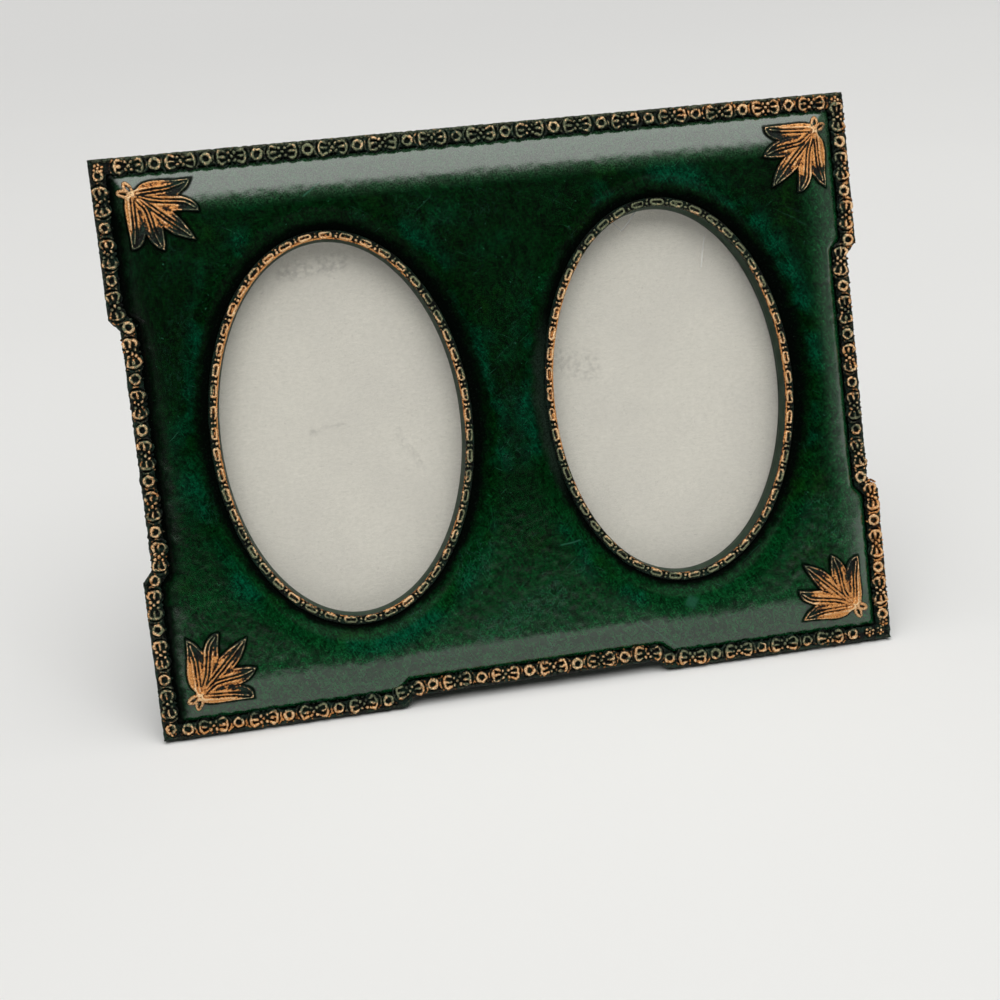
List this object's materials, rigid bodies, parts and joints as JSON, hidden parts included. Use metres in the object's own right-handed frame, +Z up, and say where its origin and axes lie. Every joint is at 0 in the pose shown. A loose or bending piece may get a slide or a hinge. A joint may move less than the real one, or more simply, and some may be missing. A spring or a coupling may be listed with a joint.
{
  "type": "double photo frame",
  "caption": "Landscape tabletop frame with paired oval windows, a padded green enamelled face, copper relief trim and corner leaves, and a velvet easel back.",
  "frame": {"origin": "on the floor under the middle of the standing frame, leg open", "axes": "+Z up; the face looks along -Y and leans back towards +Y; +X to the viewer's right"},
  "size_m": [0.178, 0.0642, 0.1279],
  "materials": {
    "green_enamel": "deep green translucent enamel over a hammered casting, blackened in the hollows, satin",
    "copper_relief": "stamped brass with copper highlights rubbed through a dark green-black patina",
    "clear_pane": "clear, polished, faintly scratched",
    "off_white_card": "blank off-white card, matt, lightly speckled",
    "fibreboard": "pressed grey-brown board, matt",
    "black_velvet": "short black velvet pile",
    "aged_brass": "dull aged brass"
  },
  "bodies": {
    "frame_body": {"front_panel": "green_enamel", "border_trim_top": "copper_relief", "border_trim_bottom": "copper_relief", "border_trim_left": "copper_relief", "border_trim_right": "copper_relief", "oval_bezel_left": "copper_relief", "oval_bezel_right": "copper_relief", "leaf_top_left": "copper_relief", "leaf_top_right": "copper_relief", "leaf_bottom_left": "copper_relief", "leaf_bottom_right": "copper_relief", "pane_left": "clear_pane", "pane_right": "clear_pane", "insert_card_left": "off_white_card", "insert_card_right": "off_white_card", "back_board": "fibreboard", "back_velvet": "black_velvet", "button_screws": "aged_brass", "hinge_back_plate": "aged_brass", "hinge_pin": "aged_brass", "back_plate_rivets": "aged_brass"},
    "leg": {"easel_leg": "fibreboard", "leg_velvet": "black_velvet", "hinge_leg_plate": "aged_brass", "leg_plate_rivets": "aged_brass"},
    "turn_button_top_left": {"turn_button_top_left": "aged_brass"},
    "turn_button_top_right": {"turn_button_top_right": "aged_brass"},
    "turn_button_bottom_left": {"turn_button_bottom_left": "aged_brass"},
    "turn_button_bottom_right": {"turn_button_bottom_right": "aged_brass"}
  },
  "joints": [
    {"name": "leg_fold", "type": "hinge", "parent": "frame_body", "child": "leg", "pos_m": [0, 0.00774, 0.0879], "axis": [-1, 0, 0], "range_deg": [0, 33]},
    {"name": "turn_button_top_left_turn", "type": "hinge", "parent": "frame_body", "child": "turn_button_top_left", "pos_m": [-0.05, 0.01618, 0.11775], "axis": [0, 0.9511, -0.309], "range_deg": [-90, 90]},
    {"name": "turn_button_top_right_turn", "type": "hinge", "parent": "frame_body", "child": "turn_button_top_right", "pos_m": [0.05, 0.01618, 0.11775], "axis": [0, 0.9511, -0.309], "range_deg": [-90, 90]},
    {"name": "turn_button_bottom_left_turn", "type": "hinge", "parent": "frame_body", "child": "turn_button_bottom_left", "pos_m": [-0.05, -0.02044, 0.00505], "axis": [0, 0.9511, -0.309], "range_deg": [-90, 90]},
    {"name": "turn_button_bottom_right_turn", "type": "hinge", "parent": "frame_body", "child": "turn_button_bottom_right", "pos_m": [0.05, -0.02044, 0.00505], "axis": [0, 0.9511, -0.309], "range_deg": [-90, 90]}
  ]
}
